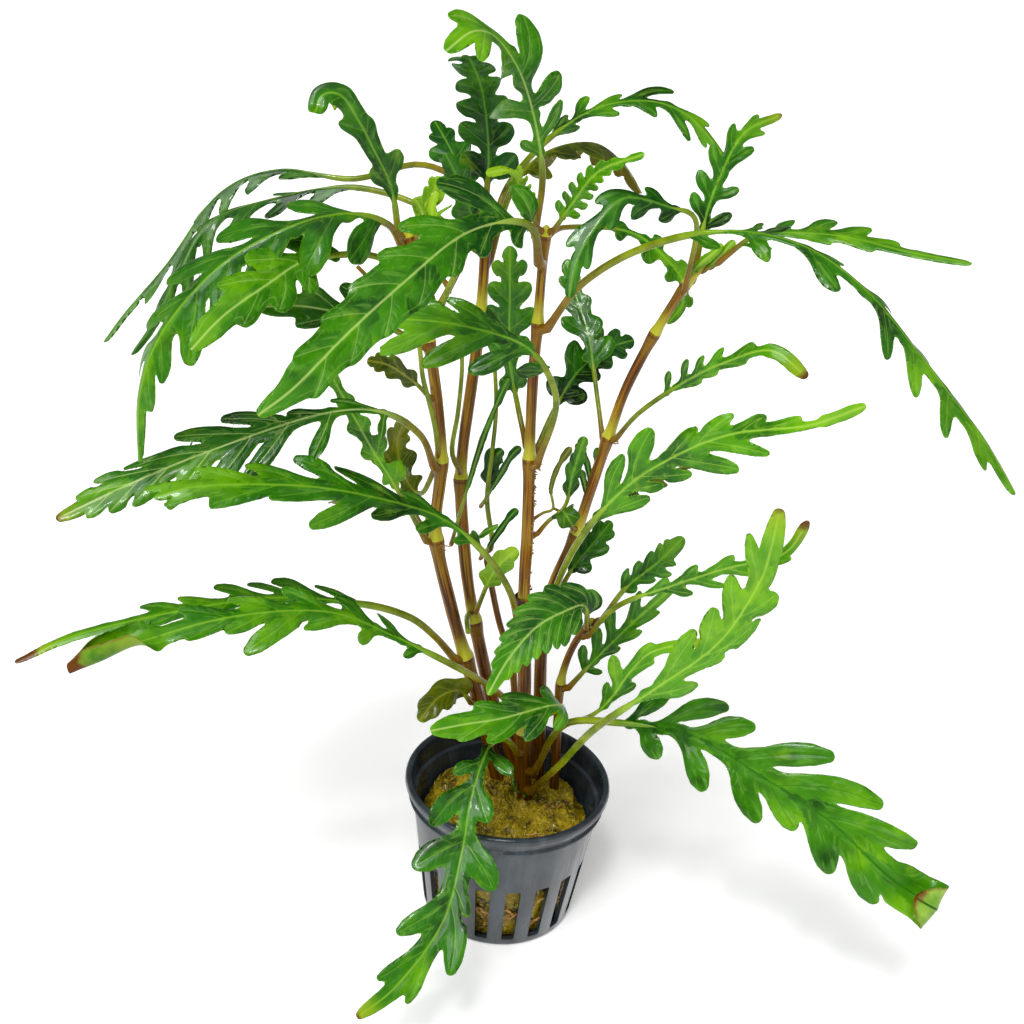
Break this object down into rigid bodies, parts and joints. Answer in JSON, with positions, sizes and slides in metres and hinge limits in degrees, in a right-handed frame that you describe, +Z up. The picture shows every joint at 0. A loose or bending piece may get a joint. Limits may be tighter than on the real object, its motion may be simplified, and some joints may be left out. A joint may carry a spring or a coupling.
{
  "type": "potted aquarium plant (hygrophila pinnatifida)",
  "caption": "Aquarium plant with long lobed green leaves on brown jointed stems, growing from mineral wool in a small slotted net pot.",
  "frame": {"origin": "centre of the pot's flat underside, on the surface it stands on", "axes": "+Z up along the pot's axis, -Y towards the side of the plant seen in the picture, +X to that view's right"},
  "size_m": [0.223, 0.1401, 0.2391],
  "materials": {
    "pot_plastic": "wet dark slate-grey moulded plastic",
    "mineral_wool": "wet olive-brown mineral wool fibres",
    "stem": "glossy red-brown to olive stem with yellow-green joints",
    "leaf": "wet fresh green leaf with lighter veins",
    "pale_leaf": "young yellow-green leaf",
    "olive_leaf": "olive-brown leaf underside"
  },
  "bodies": {
    "root": {"leaf_back_arch_olive": "olive_leaf", "leaf_back_arch_right": "leaf", "leaf_crown": "leaf", "leaf_crown_back": "leaf", "leaf_crown_back_plain": "leaf", "leaf_crown_back_small": "leaf", "leaf_curly_dark": "leaf", "leaf_front_big": "leaf", "leaf_front_dark": "leaf", "leaf_front_fern": "leaf", "leaf_front_hanging": "leaf", "leaf_hanging_back_right": "leaf", "leaf_inner_left_light": "leaf", "leaf_inner_left_olive": "olive_leaf", "leaf_inner_pale_midrib": "leaf", "leaf_inner_right": "leaf", "leaf_inner_right_high": "leaf", "leaf_inner_right_low": "leaf", "leaf_left_arch_drooping": "leaf", "leaf_left_arch_high": "leaf", "leaf_left_arch_inner": "leaf", "leaf_left_brown_under": "olive_leaf", "leaf_left_low_long": "leaf", "leaf_left_low_rolled": "leaf", "leaf_left_middle": "leaf", "leaf_left_middle_low": "leaf", "leaf_left_narrow_rising": "leaf", "leaf_left_pale": "pale_leaf", "leaf_left_short": "leaf", "leaf_looping": "leaf", "leaf_narrow_upright": "leaf", "leaf_olive_low": "olive_leaf", "leaf_over_rim": "leaf", "leaf_right_brown_under": "olive_leaf", "leaf_right_crown": "leaf", "leaf_right_feathery": "leaf", "leaf_right_feathery_high": "leaf", "leaf_right_high": "leaf", "leaf_right_long_arch": "leaf", "leaf_right_low_big": "leaf", "leaf_right_middle": "leaf", "leaf_right_narrow": "leaf", "leaf_right_pale_rising": "pale_leaf", "leaf_right_pale_thin": "pale_leaf", "leaf_right_thin_brown_tip": "leaf", "leaf_small_olive_left": "olive_leaf", "leaf_upper_left_curled": "leaf", "leaf_yellow": "pale_leaf", "leaf_young_left": "pale_leaf", "leaf_young_right": "pale_leaf", "pot": "pot_plastic", "rockwool": "mineral_wool", "shoot_tip_left": "pale_leaf", "stem_back": "stem", "stem_front": "stem", "stem_inner": "stem", "stem_left": "stem", "stem_left_side_shoot": "stem", "stem_low_right": "stem", "stem_right": "stem"}
  },
  "joints": []
}
